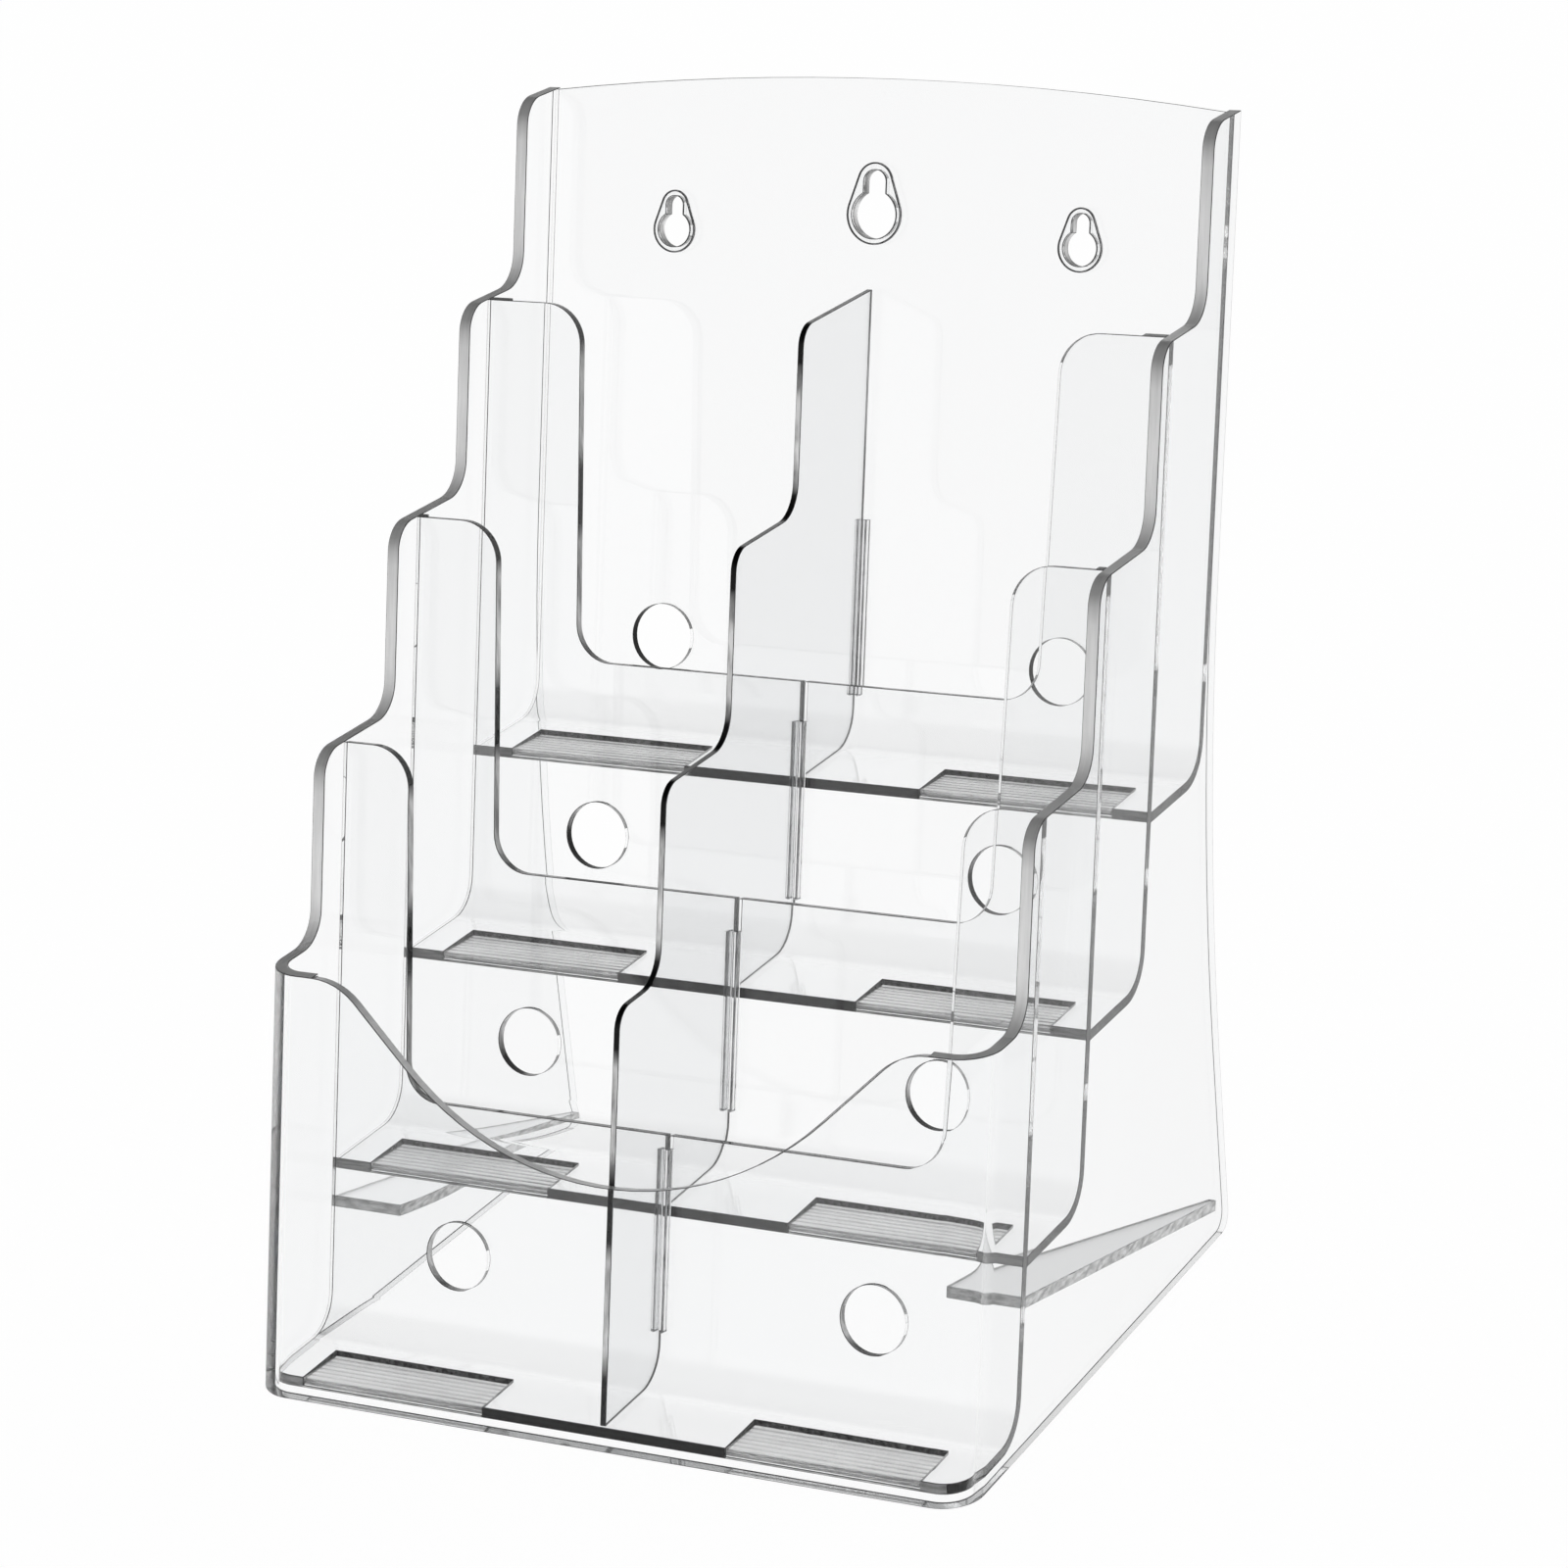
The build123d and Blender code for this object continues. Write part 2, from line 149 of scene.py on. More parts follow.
class RackFinishSettings(PropertyGroup):
    """Colours and optical properties of the clear plastic."""

    tint: colour("Sheet tint", "Colour of light that has passed a sheet", (0.985, 0.988, 0.99))
    divider_tint: colour(
        "Divider tint", "Colour of light that has passed the divider", (0.90, 0.905, 0.91)
    )
    brace_tint: colour("Brace tint", "Colour of light that has passed a brace", (0.90, 0.905, 0.91))
    strip_tint: colour("Strip colour", "Colour of a ribbed strip where it is palest", (1.0, 1.0, 1.0))
    # The painted light and shade of the cut edges scale this colour: it is their brightest painted
    # light.
    edge_light_colour: colour("Edge colour", "Colour of a cut edge where it is brightest", (1.0, 1.0, 1.0))
    # Painted shade: the fine rims beside cut edges, and those of the ribs and braces, are painted dark
    # in place of the dark lines that refraction draws along them.
    rim_shade: colour("Rim colour", "Colour of the shaded fine rim beside a cut edge", (0.02, 0.02, 0.021))
    rib_rim_shade: colour(
        "Small rim colour", "Colour of the shaded fine rim of the ribs and braces", (0.15, 0.152, 0.155)
    )
    # Painted shade: the pocket walls are painted dark in place of the shade in the recess.
    pocket_shade: colour("Pocket wall colour", "Colour of the nicks in a shaded pocket wall", (0.16, 0.16, 0.16))
    ior: FloatProperty(
        name="Refractive index",
        description="Refractive index of the clear plastic",
        default=1.49,
        min=1.0,
        max=2.0,
    )
    wall_ior: FloatProperty(
        name="Wall refraction",
        description="Refractive index of the bent outer wrap",
        default=1.12,
        min=1.0,
        max=2.0,
    )
    milky: share("Milkiness", "Share of light that a polished face scatters", 0.01)
    absorption: amount("Absorption", "Share of light lost for each metre of plastic", 2.4)
    haze: share("Haze", "Surface roughness of a polished face", 0.004)
    swell: share("Waviness", "Strength of the waviness of a polished face", 0.01)
    edge_haze: share("Edge haze", "Surface roughness of a cut edge", 0.18)
    edge_clear: share("Edge clearness", "Share of light that passes through a cut edge", 0.15)
    strip_clear: share("Strip clearness", "Share of light that passes through a strip", 0.92)
    strip_haze: share("Strip haze", "Surface roughness of a ribbed strip", 0.12)
    pocket_clear: share("Pocket clearness", "Share of light that passes a shaded pocket wall", 0.2)
    pocket_haze: share("Pocket haze", "Surface roughness of a shaded pocket wall", 0.4)


class RackStageSettings(PropertyGroup):
    """Floor, light and camera."""

    floor_half: length("Floor half width", "Half the width of the floor", 30.0)
    floor_tint: colour("Floor colour", "Colour of the floor in outside light", (0.08, 0.08, 0.08))
    sky: amount("Surround brightness", "Brightness of the soft light from all round", 1.05)
    overhead: amount("Overhead share", "Brightness straight above, as a share of the rest", 0.03)
    fall_low: share("Fall begins", "Height in the surround where it starts to darken", 0.3)
    fall_high: share("Fall ends", "Height in the surround where it is darkest", 0.7)
    glow: amount("Floor brightness", "Light given off by the lit floor", 0.97)
    mirrored: amount("Mirrored floor", "Brightness of the floor in a polished face", 0.3)
    mirrored_sky: share("Mirrored surround", "Share of the surround seen in a polished face", 0.35)
    azimuth: FloatProperty(
        name="Azimuth",
        description="Direction of the camera round the rack, from the front towards the right",
        default=math.radians(26.933),
        subtype="ANGLE",
    )
    elevation: FloatProperty(
        name="Elevation",
        description="Angle of the camera above the level",
        default=math.radians(18.908),
        subtype="ANGLE",
    )
    roll: FloatProperty(
        name="Roll",
        description="Turn of the camera about its own axis",
        default=math.radians(-3.533),
        subtype="ANGLE",
    )
    place: FloatVectorProperty(
        name="Camera place",
        description="Where the camera stands",
        default=(0.637846, -1.231026, 0.640032),
        size=3,
        subtype="TRANSLATION",
    )
    lens: amount("Lens", "Focal length in millimetres for a 36 mm wide sensor", 110.749)
    bounces: IntProperty(
        name="Bounces", description="Most bounces of any light path", default=40, min=4
    )
    clear_bounces: IntProperty(
        name="Clear bounces",
        description="Most bounces inside the clear plastic",
        default=32,
        min=4,
    )


# ---- materials ----


def new_material(name):
    """Empty node material: the material, its node tree and its output node."""
    material = bpy.data.materials.new(name)
    material.use_nodes = True
    tree = material.node_tree
    tree.nodes.clear()
    return material, tree, tree.nodes.new("ShaderNodeOutputMaterial")


def mottle(tree, scale, stretch, low, high):
    """Noise over the object's own coordinates, stretched along each axis, from low to high."""
    place = tree.nodes.new("ShaderNodeTexCoord")
    shape = tree.nodes.new("ShaderNodeMapping")
    shape.inputs["Scale"].default_value = stretch
    noise = tree.nodes.new("ShaderNodeTexNoise")
    noise.inputs["Scale"].default_value = scale
    noise.inputs["Detail"].default_value = NOISE_DETAIL
    spread = tree.nodes.new("ShaderNodeMapRange")
    spread.inputs["From Min"].default_value = NOISE_RANGE[0]
    spread.inputs["From Max"].default_value = NOISE_RANGE[1]
    spread.inputs["To Min"].default_value = low
    spread.inputs["To Max"].default_value = high
    tree.links.new(place.outputs["Object"], shape.inputs["Vector"])
    tree.links.new(shape.outputs["Vector"], noise.inputs["Vector"])
    tree.links.new(noise.outputs["Fac"], spread.inputs["Value"])
    return spread.outputs["Result"]


def plastic(name, tint, clear, haze, scale, ior=None):
    """Plastic with an uneven haze, clear by a share, that darkens with its thickness."""
    finish = bpy.context.scene.rack_finish
    material, tree, output = new_material(name)
    shader = tree.nodes.new("ShaderNodeBsdfPrincipled")
    shader.inputs["Base Color"].default_value = (*tint, 1)
    shader.inputs["Transmission Weight"].default_value = clear
    shader.inputs["IOR"].default_value = ior or finish.ior
    tree.links.new(mottle(tree, scale, EVEN, haze * 0.5, haze * 1.5), shader.inputs["Roughness"])
    tree.links.new(shader.outputs["BSDF"], output.inputs["Surface"])
    body = tree.nodes.new("ShaderNodeVolumeAbsorption")
    body.inputs["Color"].default_value = (0, 0, 0, 1)
    body.inputs["Density"].default_value = finish.absorption
    tree.links.new(body.outputs["Volume"], output.inputs["Volume"])
    return material, tree, shader


def clear_plastic(name, tint, wave, ior=None):
    """Clear cast sheet with a faint waviness of its surface."""
    finish = bpy.context.scene.rack_finish
    material, tree, shader = plastic(name, tint, 1.0 - finish.milky, finish.haze, 60, ior)
    swell = mottle(tree, wave, EVEN, 0.0, 1.0)
    bump = tree.nodes.new("ShaderNodeBump")
    bump.inputs["Strength"].default_value = finish.swell
    bump.inputs["Distance"].default_value = SWELL_HEIGHT
    tree.links.new(swell, bump.inputs["Height"])
    tree.links.new(bump.outputs["Normal"], shader.inputs["Normal"])
    return material


def dimmed(tree, shader, shares):
    """Multiplies a colour by a noise and gives it to the shader. Returns the colour's socket."""
    shade = tree.nodes.new("ShaderNodeMixRGB")
    shade.blend_type = "MULTIPLY"
    shade.inputs["Fac"].default_value = 1.0
    tree.links.new(shares, shade.inputs["Color2"])
    tree.links.new(shade.outputs["Color"], shader.inputs["Base Color"])
    return shade.inputs["Color1"]


def painted_edge_material(name, tones, share_of, streak, stretch, clear=None):
    """Cut edge with light and shade painted into its colour, in place of the light refracted through it:
    its tone follows share_of, a place along the edge, and streaks of strength streak and shape stretch
    break it up. clear is the share of light that passes through."""
    finish = bpy.context.scene.rack_finish
    material, tree, shader = plastic(
        name, finish.edge_light_colour, clear or finish.edge_clear, finish.edge_haze, 120
    )
    shader.inputs["Specular IOR Level"].default_value = 0.25
    ramp = tree.nodes.new("ShaderNodeValToRGB")
    for element in list(ramp.color_ramp.elements)[1:]:
        ramp.color_ramp.elements.remove(element)
    for number, (at, tone) in enumerate(tones):
        element = ramp.color_ramp.elements[0] if number == 0 else ramp.color_ramp.elements.new(at)
        element.position = at
        element.color = (*(tone * c for c in finish.edge_light_colour), 1)
    tree.links.new(share_of(tree), ramp.inputs["Fac"])
    streaks = mottle(tree, 1.0, stretch, 1.0 - streak, 1.0 + streak)
    tree.links.new(ramp.outputs["Color"], dimmed(tree, shader, streaks))
    return material


def coordinate(tree, axis):
    """One of the object's own coordinates."""
    place = tree.nodes.new("ShaderNodeTexCoord")
    split = tree.nodes.new("ShaderNodeSeparateXYZ")
    tree.links.new(place.outputs["Object"], split.inputs["Vector"])
    return split.outputs[axis]


def calculated(tree, operation, first, second=0.0):
    """Result of one sum on a socket and a number."""
    node = tree.nodes.new("ShaderNodeMath")
    node.operation = operation
    tree.links.new(first, node.inputs[0])
    node.inputs[1].default_value = second
    return node.outputs[0]


def share_of_step(tree):
    """Share of the way up from one step of the walls to the next."""
    above = calculated(tree, "SUBTRACT", coordinate(tree, "Z"), STEP_TOP - 10 * STEP_RISE)
    return calculated(tree, "FRACT", calculated(tree, "DIVIDE", above, STEP_RISE))


def share_of_width(tree):
    """Distance from the middle, as a share of half the inside width."""
    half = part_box("top_sheet")[1].x
    return calculated(tree, "DIVIDE", calculated(tree, "ABSOLUTE", coordinate(tree, "X")), half)


def shaded_rim_material(name, tint):
    """Fine rim where a polished face turns into a cut edge, painted dark as painted shade in place of
    the dark line that refraction draws there.
    """
    finish = bpy.context.scene.rack_finish
    material, tree, shader = plastic(name, tint, finish.edge_clear, finish.edge_haze, 200)
    shade = tree.nodes.new("ShaderNodeMixRGB")
    shade.inputs["Color1"].default_value = (*tint, 1)
    shade.inputs["Color2"].default_value = (*(min(1.0, 6 * c) for c in tint), 1)
    tree.links.new(mottle(tree, 160.0, EVEN, 0.0, 1.0), shade.inputs["Fac"])
    tree.links.new(shade.outputs["Color"], shader.inputs["Base Color"])
    return material


def shaded_pocket_material():
    """Rough wall of a milled pocket, painted dark as the shade in the recess, with paler nicks."""
    finish = bpy.context.scene.rack_finish
    material, tree, shader = plastic(
        "shaded pocket wall", finish.pocket_shade, finish.pocket_clear, finish.pocket_haze, 200
    )
    nicks = mottle(tree, 700.0, EVEN, 0.125, 1.0)
    dimmed(tree, shader, nicks).default_value = (*finish.pocket_shade, 1)
    return material


def strip_material():
    """Frosted moulding with long streaks."""
    finish = bpy.context.scene.rack_finish
    material, tree, shader = plastic(
        "ribbed strip", finish.strip_tint, finish.strip_clear, finish.strip_haze, 150
    )
    streaks = mottle(tree, 1.0, STRIP_STREAKS, 0.78, 1.0)
    dimmed(tree, shader, streaks).default_value = (*finish.strip_tint, 1)
    return material


# ---- polished pieces ----


def merged_copy(node, name):
    """A copy of a CAD node with its loose triangles joined along their edges."""
    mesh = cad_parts[node].data.copy()
    mesh.name = name
    work = bmesh.new()
    work.from_mesh(mesh)
    bmesh.ops.remove_doubles(work, verts=work.verts, dist=0.002 * MM)
    bmesh.ops.dissolve_limit(
        work, angle_limit=math.radians(0.05), verts=work.verts, edges=work.edges
    )
    work.to_mesh(mesh)
    work.free()
    mesh.materials.clear()
    piece = bpy.data.objects.new(name, mesh)
    bpy.context.scene.collection.objects.link(piece)
    return piece


def weigh_rims(piece, weights):
    """Marks every sharp edge with the lower of its two faces' rim weights."""
    work = bmesh.new()
    work.from_mesh(piece.data)
    layer = work.edges.layers.float.new("bevel_weight_edge")
    for edge in work.edges:
        if len(edge.link_faces) == 2 and edge.calc_face_angle(0.0) > SHARP:
            edge[layer] = min(float(weights[face.index]) for face in edge.link_faces)
    work.to_mesh(piece.data)
    work.free()


def polish(piece, width, steps):
    """Rounds the weighed edges by width, and shades the faces flat up to that rim.
    The rim takes the piece's last material."""
    mesh = piece.data
    mesh.polygons.foreach_set("use_smooth", np.ones(len(mesh.polygons), bool))
    rim = piece.modifiers.new("rim", "BEVEL")
    rim.width = width
    rim.segments = steps
    rim.limit_method = "WEIGHT"
    rim.material = len(mesh.materials) - 1
    shade = piece.modifiers.new("flat faces", "WEIGHTED_NORMAL")
    shade.mode = "FACE_AREA"
    shade.weight = 100
    shade.keep_sharp = True


def draw_in(piece, gap):
    """Moves every point inwards along its normal, so that cemented pieces don't share a face."""
    mesh = piece.data
    points = np.empty(len(mesh.vertices) * 3, np.float32)
    normals = np.empty(len(mesh.vertices) * 3, np.float32)
    mesh.vertices.foreach_get("co", points)
    mesh.vertex_normals.foreach_get("vector", normals)
    mesh.vertices.foreach_set("co", points - gap * normals)
    mesh.update()


def face_facts(piece):
    """Normals and centres of a piece's faces, as arrays."""
    mesh = piece.data
    normals = np.empty(len(mesh.polygons) * 3, np.float32)
    centres = np.empty(len(mesh.polygons) * 3, np.float32)
    mesh.polygons.foreach_get("normal", normals)
    mesh.polygons.foreach_get("center", centres)
    return normals.reshape(-1, 3), centres.reshape(-1, 3)


def inner_half():
    """Distance from the middle to where the sheets meet the side walls."""
    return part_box("top_sheet")[1].x - SIDE_MARGIN


def stand_for(piece, node, body):
    """The piece takes the place of a CAD node on its body."""
    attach(piece, body)
    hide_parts(node)


def even_rims(normals, centres):
    """Every face asks for a full rim."""
    return np.ones(len(normals))


def polished(node, body, materials, choose, rim, weigh=even_rims):
    """Polished piece that stands for one CAD node. choose(normals, centres) gives each face
    the number of its material, the last one being the rim's; weigh gives it a rim weight."""
    shape = bpy.context.scene.rack_shape
    piece = merged_copy(node, f"clear_{node}")
    normals, centres = face_facts(piece)
    chosen = choose(normals, centres)
    weigh_rims(piece, weigh(normals, centres))
    draw_in(piece, shape.joint_gap)
    for material in materials:
        piece.data.materials.append(material)
    piece.data.polygons.foreach_set("material_index", chosen.astype(np.int32))
    polish(piece, rim, shape.rim_steps)
    stand_for(piece, node, body)
    return piece


def carried_profile(name, profile, places, shares):
    """Closed side profile carried across the rack:
    P(i, j) = (x_i, c + s_i (p_j - c)), with c the middle of the profile, x_i the places and s_i
    the shares, for profile points p_j in order round the piece. Both ends are closed."""
    profile = np.asarray(profile, float)
    places = np.asarray(places, float)
    shares = np.asarray(shares, float)
    middle = (profile.min(axis=0) + profile.max(axis=0)) / 2
    rings = middle + shares[:, None, None] * (profile - middle)[None]
    count = len(profile)
    points = np.empty((len(places), count, 3))
    points[:, :, 0] = places[:, None]
    points[:, :, 1:] = rings
    i, j = np.meshgrid(np.arange(len(places) - 1), np.arange(count), indexing="ij")
    k = (j + 1) % count
    faces = np.stack((i * count + j, i * count + k, (i + 1) * count + k, (i + 1) * count + j), -1)
    last = (len(places) - 1) * count
    ends = [list(range(count - 1, -1, -1)), list(range(last, last + count))]
    mesh = bpy.data.meshes.new(name)
    mesh.from_pydata(points.reshape(-1, 3).tolist(), [], faces.reshape(-1, 4).tolist() + ends)
    mesh.polygons.foreach_set("use_smooth", np.ones(len(mesh.polygons), bool))
    mesh.update()
    piece = bpy.data.objects.new(name, mesh)
    bpy.context.scene.collection.objects.link(piece)
    return piece


def strip_profile(low, high, ridges, ridge, rear):
    """Side view of a ribbed strip between two corners (y, z). With t from 0 at the rear to 1 at
    the front, its top is z(t) = z_low + rear + (z_high - z_low - rear - ridge) t
    + ridge |sin(pi n t)|^0.7 for n ridges; its underside is level."""
    t = np.linspace(0.0, 1.0, ridges * 14 + 1)
    wave = np.abs(np.sin(math.pi * ridges * t)) ** 0.7
    y = high[0] + (low[0] - high[0]) * t
    z = low[1] + rear + (high[1] - low[1] - rear - ridge) * t + ridge * wave
    top = np.stack((y, z), -1)
    bottom = np.stack((y[::-6], np.full(len(y[::-6]), low[1])), -1)
    return np.concatenate((top, bottom))


class RACK_OT_outer_wrap(Operator):
    """Front sheet and both side walls, bent from one clear sheet."""

    bl_idname = "rack.outer_wrap"
    bl_label = "Outer wrap"

    def execute(self, context):
        finish = context.scene.rack_finish
        clear = clear_plastic("clear wall", finish.tint, 9, finish.wall_ior)
        # The cut edges of the walls get light and shade painted by height, and their rims are painted
        # dark as shade.
        edge = painted_edge_material("painted wall edge", WALL_EDGE_PAINTED_LIGHT, share_of_step, 0.06, WALL_STREAKS)
        reach = inner_half()

        def edges(normals, centres):
            ends = np.abs(normals @ UP_SHEET) > 0.3
            return ends | ((np.abs(normals[:, 0]) < 0.05) & (np.abs(centres[:, 0]) > reach))

        def rear_or_foot(normals):
            return (normals[:, 1] > 0.3) | (normals[:, 2] < -0.5)

        def choose(normals, centres):
            return (edges(normals, centres) & ~rear_or_foot(normals)).astype(int)

        polished(
            "outer_wrap",
            RACK,
            (clear, edge, shaded_rim_material("shaded fine rim", finish.rim_shade)),
            choose,
            context.scene.rack_shape.rim,
        )
        return {"FINISHED"}


def sheet_chooser(tier):
    """Function that gives a tier sheet's faces 0 where polished, 1 on cut edges, 2 on the front
    edge of the floor and 3 on the walls of the strips' pockets."""
    reach = inner_half()
    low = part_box(f"{tier}_sheet")[0]
    pockets = [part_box(f"grip_strip_{tier}_{side}") for side in SIDES]

    def choose(normals, centres):
        upright = np.abs(normals @ UP_SHEET)
        cut = (np.abs(normals[:, 0]) > 0.3) & (np.abs(centres[:, 0]) < reach)
        cut &= (normals[:, 0] > 0) | (upright > 0.3)
        cut |= (upright > 0.95) & (centres[:, 2] > low.z + FLOOR_ZONE)
        fore = (normals @ FRONT > 0.9) & (centres[:, 1] < low.y + FRONT_ZONE)
        wall = np.zeros(len(cut), bool)
        for corner, far in pockets:
            near = (centres[:, 0] > corner.x - POCKET_MARGIN) & (centres[:, 0] < far.x + POCKET_MARGIN)
            near &= (centres[:, 2] > corner.z - POCKET_MARGIN) & (centres[:, 2] < far.z + POCKET_MARGIN)
            wall |= near & ((np.abs(normals[:, 0]) > 0.9) | (normals[:, 1] < -0.99))
        return np.where(wall, 3, np.where(fore, 2, np.where(cut, 1, 0)))

    return choose


class RACK_OT_tier_sheets(Operator):
    """The four leaning sheets with their floors, holes and pockets."""

    bl_idname = "rack.tier_sheets"
    bl_label = "Tier sheets"

    def execute(self, context):
        finish = context.scene.rack_finish
        clear = clear_plastic("clear sheet", finish.tint, 11)
        # Cut edges and the front edges of the floors get painted light and shade; the pocket walls and
        # rims are painted dark as shade.
        edge = painted_edge_material(
            "painted sheet edge", SHEET_EDGE_PAINTED_LIGHT, share_of_step, 0.5, SHEET_STREAKS, DIM_EDGE
        )
        front = painted_edge_material(
            "painted floor front edge", FLOOR_EDGE_PAINTED_LIGHT, share_of_width, 0.5, FLOOR_STREAKS, DARK_EDGE
        )
        materials = (clear, edge, front, shaded_pocket_material(), shaded_rim_material("shaded fine rim", finish.rim_shade))
        reach = inner_half()

        def weigh(normals, centres):
            weights = np.ones(len(normals))
            weights[np.abs(centres[:, 0]) > reach] = CEMENTED_RIM
            weights[(normals[:, 0] < -0.3) & (np.abs(centres[:, 0]) < reach)] = SHADED_RIM
            return weights

        for tier in TIERS:
            polished(
                f"{tier}_sheet",
                RACK,
                materials,
                sheet_chooser(tier),
                context.scene.rack_shape.thin_rim,
                weigh,
            )
        return {"FINISHED"}


class RACK_OT_divider(Operator):
    """The lift-out plate between the two halves."""

    bl_idname = "rack.divider"
    bl_label = "Divider"

    def execute(self, context):
        finish = context.scene.rack_finish
        clear = clear_plastic("clear divider", finish.divider_tint, 13)
        # The divider's cut edges get light and shade painted by height, and its rims are painted dark as
        # shade.
        edge = painted_edge_material(
            "painted divider edge", SHEET_EDGE_PAINTED_LIGHT, share_of_step, 0.5, SHEET_STREAKS, DIM_EDGE
        )

        def choose(normals, centres):
            return (np.abs(normals[:, 0]) < 0.5).astype(int)

        polished(
            "divider",
            DIVIDER,
            (clear, edge, shaded_rim_material("shaded fine rim", finish.rim_shade)),
            choose,
            context.scene.rack_shape.thin_rim,
        )
        return {"FINISHED"}


class RACK_OT_guide_ribs(Operator):
    """A pair of small upright ribs on the back of each pocket."""

    bl_idname = "rack.guide_ribs"
    bl_label = "Guide ribs"

    def execute(self, context):
        finish = context.scene.rack_finish
        clear = clear_plastic("clear rib", finish.tint, 20)
        materials = (clear, shaded_rim_material("shaded rib rim", finish.rib_rim_shade))

        def choose(normals, centres):
            return np.zeros(len(normals), int)

        for tier in TIERS:
            for side in SIDES:
                polished(
                    f"guide_rib_{tier}_{side}",
                    RACK,
                    materials,
                    choose,
                    context.scene.rack_shape.thin_rim,
                )
        return {"FINISHED"}


class RACK_OT_ribbed_strips(Operator):
    """Frosted strips with rounded ridges, let into the floors."""

    bl_idname = "rack.ribbed_strips"
    bl_label = "Ribbed strips"

    def execute(self, context):
        shape = context.scene.rack_shape
        material = strip_material()
        gap = 2 * shape.joint_gap
        round_off = shape.strip_round
        for tier in TIERS:
            for side in SIDES:
                node = f"grip_strip_{tier}_{side}"
                low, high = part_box(node)
                profile = strip_profile(
                    (low.y + 4 * gap, low.z + gap),
                    (high.y - gap, high.z - gap),
                    shape.ridges,
                    shape.ridge_height,
                    shape.ridge_rear,
                )
                left, right = low.x + gap, high.x - gap
                places = (left, left + round_off / 3, left + round_off, right - round_off)
                places = (*places, right - round_off / 3, right)
                piece = carried_profile(f"clear_{node}", profile, places, STRIP_ENDS)
                piece.data.materials.append(material)
                stand_for(piece, node, RACK)
        return {"FINISHED"}


class RACK_OT_keyhole_pads(Operator):
    """Raised rims round the three keyholes."""

    bl_idname = "rack.keyhole_pads"
    bl_label = "Keyhole pads"

    def execute(self, context):
        finish = context.scene.rack_finish
        clear = clear_plastic("clear pad", finish.tint, 20)

        def choose(normals, centres):
            return (np.abs(normals @ FRONT) < 0.5).astype(int)

        edge = painted_edge_material("cut pad edge", PAD_EDGE_TONES, share_of_step, 0.7, PAD_STREAKS)
        for place in ("left", "centre", "right"):
            polished(
                f"keyhole_pad_{place}",
                RACK,
                (clear, edge, shaded_rim_material("shaded fine rim", finish.rim_shade)),
                choose,
                context.scene.rack_shape.thin_rim,
            )
        return {"FINISHED"}


class RACK_OT_foot_braces(Operator):
    """Tapered strips inside the walls, under the tiers."""

    bl_idname = "rack.foot_braces"
    bl_label = "Foot braces"

    def execute(self, context):
        finish = context.scene.rack_finish
        clear = clear_plastic("clear brace", finish.brace_tint, 14)
        edge = painted_edge_material("cut brace edge", BRACE_EDGE_TONES, share_of_step, 0.4, BRACE_STREAKS)

        def choose(normals, centres):
            return (np.abs(normals[:, 2]) < 0.5).astype(int)

        for side in SIDES:
            polished(
                f"foot_brace_{side}",
                RACK,
                (clear, edge, shaded_rim_material("shaded brace rim", finish.rib_rim_shade)),
                choose,
                context.scene.rack_shape.thin_rim,
            )
        return {"FINISHED"}


def mirror_level(tree, direct, mirrored):
    """One brightness for light seen directly, another where a polished face mirrors it."""
    path = tree.nodes.new("ShaderNodeLightPath")
    mirror = tree.nodes.new("ShaderNodeMath")
    mirror.operation = "MULTIPLY"
    tree.links.new(path.outputs["Is Reflection Ray"], mirror.inputs[0])
    tree.links.new(path.outputs["Is Glossy Ray"], mirror.inputs[1])
    level = tree.nodes.new("ShaderNodeMapRange")
    level.inputs["To Min"].default_value = direct
    level.inputs["To Max"].default_value = mirrored
    tree.links.new(mirror.outputs[0], level.inputs["Value"])
    return level.outputs["Result"]


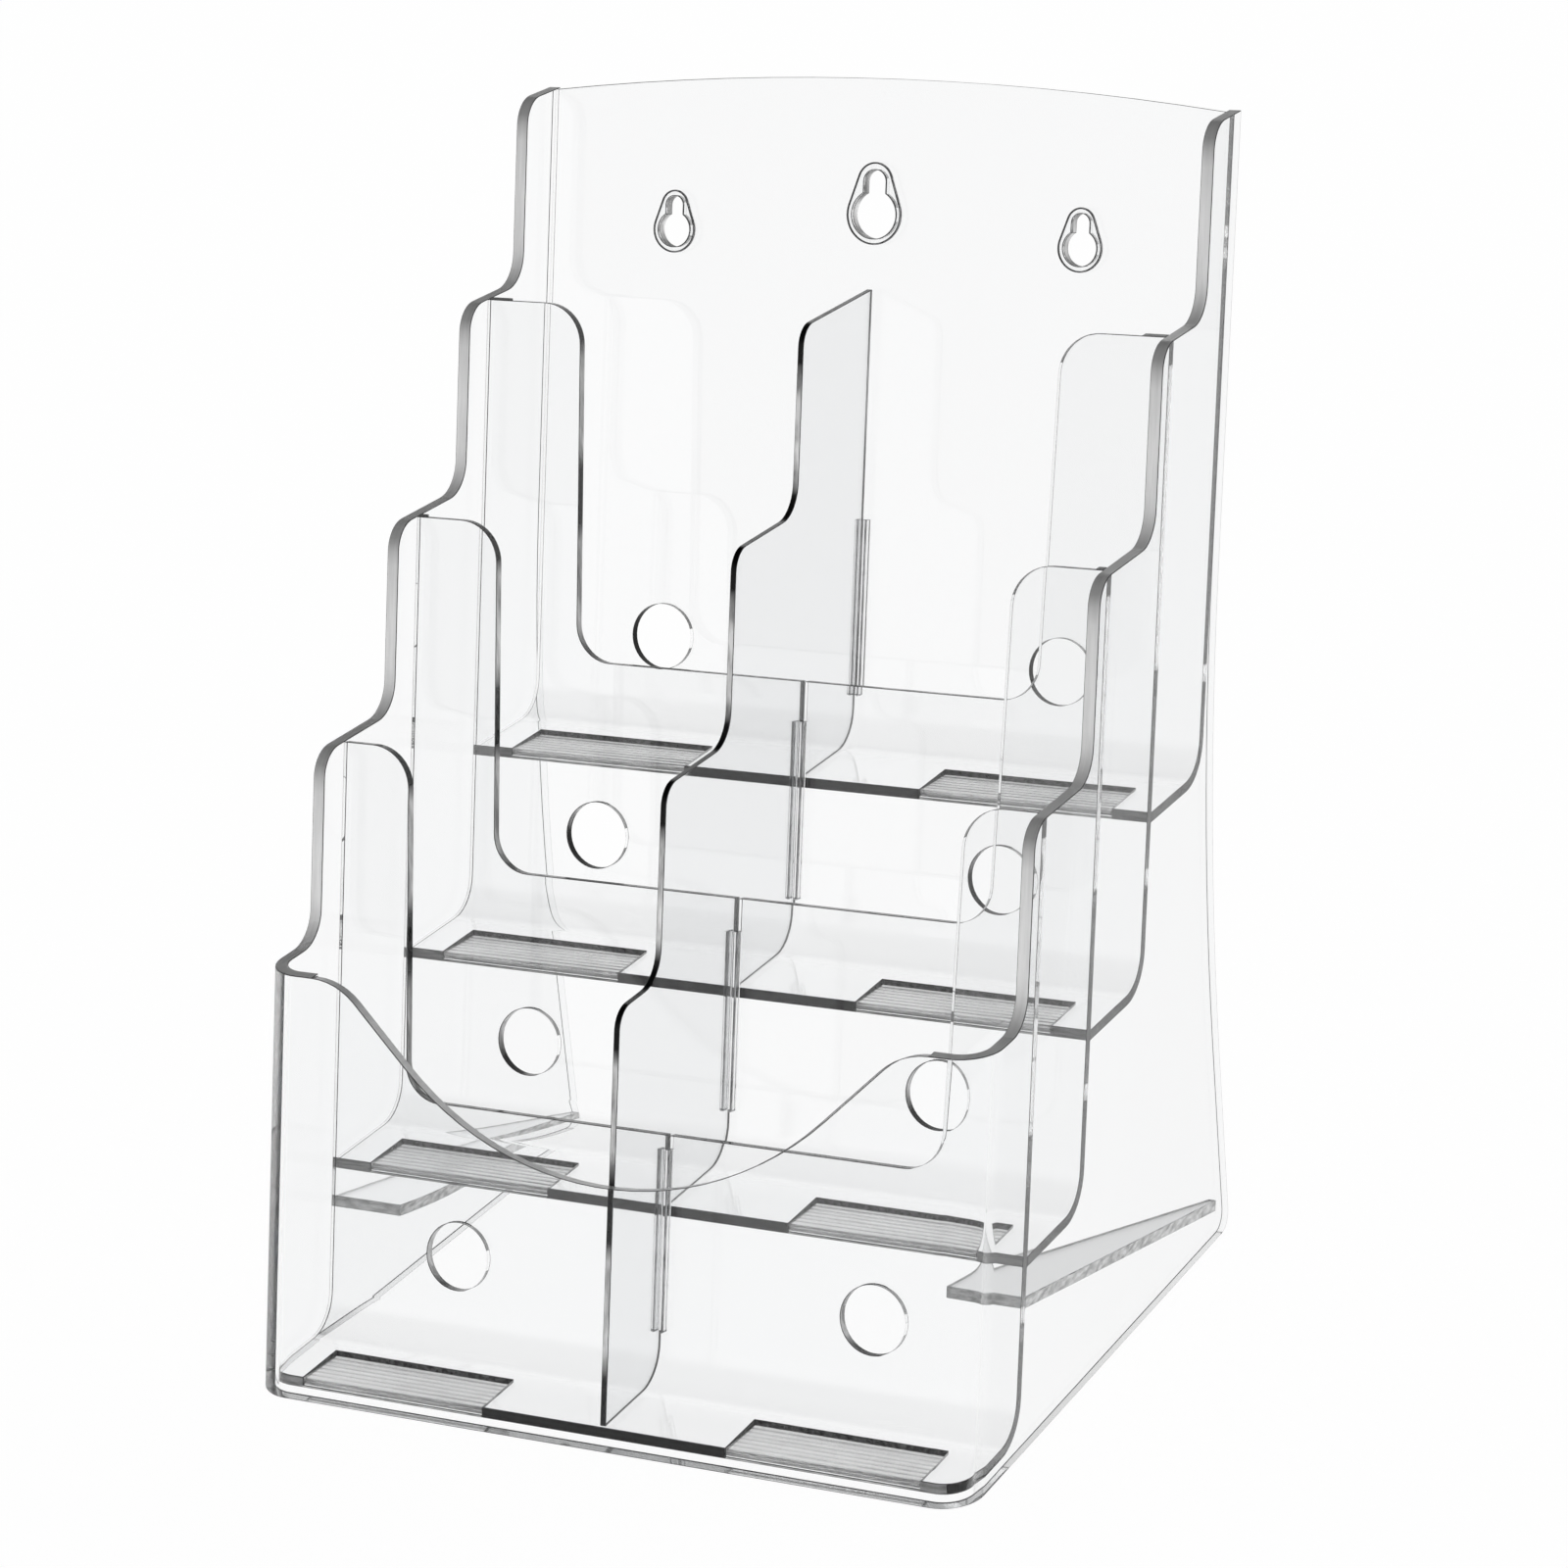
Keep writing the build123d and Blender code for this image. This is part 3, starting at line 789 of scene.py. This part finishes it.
class RACK_OT_stage(Operator):
    """Pale lit floor, soft surround and camera."""

    bl_idname = "rack.stage"
    bl_label = "Stage"

    def execute(self, context):
        stage = context.scene.rack_stage
        scene = context.scene
        mesh = bpy.data.meshes.new("floor")
        corners = np.array([(-1, -1, 0), (1, -1, 0), (1, 1, 0), (-1, 1, 0)], float) * stage.floor_half
        corners[:, 2] = -FLOOR_DROP
        mesh.from_pydata(corners.tolist(), [], [(0, 1, 2, 3)])
        floor = bpy.data.objects.new("floor", mesh)
        scene.collection.objects.link(floor)
        material, tree, output = new_material("pale floor")
        matt = tree.nodes.new("ShaderNodeBsdfDiffuse")
        matt.inputs["Color"].default_value = (*stage.floor_tint, 1)
        glow = tree.nodes.new("ShaderNodeEmission")
        tree.links.new(mirror_level(tree, stage.glow, stage.mirrored), glow.inputs["Strength"])
        both = tree.nodes.new("ShaderNodeAddShader")
        tree.links.new(matt.outputs["BSDF"], both.inputs[0])
        tree.links.new(glow.outputs["Emission"], both.inputs[1])
        tree.links.new(both.outputs["Shader"], output.inputs["Surface"])
        mesh.materials.append(material)
        self.surround(scene, stage)
        self.camera(scene, stage)
        scene.view_settings.view_transform = "Standard"
        scene.cycles.max_bounces = stage.bounces
        scene.cycles.transmission_bounces = stage.clear_bounces
        scene.cycles.glossy_bounces = stage.clear_bounces
        return {"FINISHED"}

    def surround(self, scene, stage):
        """Soft light all round that falls off overhead."""
        world = bpy.data.worlds.new("soft surround")
        scene.world = world
        world.use_nodes = True
        tree = world.node_tree
        background = tree.nodes["Background"]
        strength = mirror_level(tree, stage.sky, stage.sky * stage.mirrored_sky)
        tree.links.new(strength, background.inputs["Strength"])
        place = tree.nodes.new("ShaderNodeTexCoord")
        split = tree.nodes.new("ShaderNodeSeparateXYZ")
        fall = tree.nodes.new("ShaderNodeMapRange")
        fall.interpolation_type = "SMOOTHSTEP"
        fall.inputs["From Min"].default_value = stage.fall_low
        fall.inputs["From Max"].default_value = stage.fall_high
        fall.inputs["To Min"].default_value = 1.0
        fall.inputs["To Max"].default_value = stage.overhead
        tree.links.new(place.outputs["Generated"], split.inputs["Vector"])
        tree.links.new(split.outputs["Z"], fall.inputs["Value"])
        tree.links.new(fall.outputs["Result"], background.inputs["Color"])

    def camera(self, scene, stage):
        """Camera at its place, turned by azimuth, elevation and roll."""
        camera_data = bpy.data.cameras.new("camera")
        camera_data.sensor_width = 36.0
        camera_data.lens = stage.lens
        camera = bpy.data.objects.new("camera", camera_data)
        scene.collection.objects.link(camera)
        level_reach = math.cos(stage.elevation)
        back = Vector(
            (
                math.sin(stage.azimuth) * level_reach,
                -math.cos(stage.azimuth) * level_reach,
                math.sin(stage.elevation),
            )
        )
        level = Vector((math.cos(stage.azimuth), math.sin(stage.azimuth), 0))
        right = level * math.cos(stage.roll) + back.cross(level) * math.sin(stage.roll)
        turn = Matrix((right, back.cross(right), back)).transposed().to_4x4()
        turn.translation = Vector(stage.place)
        camera.matrix_world = turn
        scene.camera = camera


class RACK_PT_panel(Panel):
    """Builds the rack piece by piece."""

    bl_label = "Clear Tiered Rack"
    bl_space_type = "VIEW_3D"
    bl_region_type = "UI"
    bl_category = "Rack"

    def draw(self, context):
        for operator in OPERATORS:
            self.layout.operator(operator.bl_idname)


OPERATORS = (
    RACK_OT_outer_wrap,
    RACK_OT_tier_sheets,
    RACK_OT_divider,
    RACK_OT_guide_ribs,
    RACK_OT_ribbed_strips,
    RACK_OT_keyhole_pads,
    RACK_OT_foot_braces,
    RACK_OT_stage,
)
CLASSES = (RackShapeSettings, RackFinishSettings, RackStageSettings, *OPERATORS, RACK_PT_panel)


def register():
    for cls in CLASSES:
        bpy.utils.register_class(cls)
    bpy.types.Scene.rack_shape = PointerProperty(type=RackShapeSettings)
    bpy.types.Scene.rack_finish = PointerProperty(type=RackFinishSettings)
    bpy.types.Scene.rack_stage = PointerProperty(type=RackStageSettings)


def unregister():
    del bpy.types.Scene.rack_shape
    del bpy.types.Scene.rack_finish
    del bpy.types.Scene.rack_stage
    for cls in reversed(CLASSES):
        bpy.utils.unregister_class(cls)


def main():
    """Makes every piece."""
    register()
    bpy.ops.rack.outer_wrap()
    bpy.ops.rack.tier_sheets()
    bpy.ops.rack.divider()
    bpy.ops.rack.guide_ribs()
    bpy.ops.rack.ribbed_strips()
    bpy.ops.rack.keyhole_pads()
    bpy.ops.rack.foot_braces()
    bpy.ops.rack.stage()


if __name__ == "__main__":
    main()
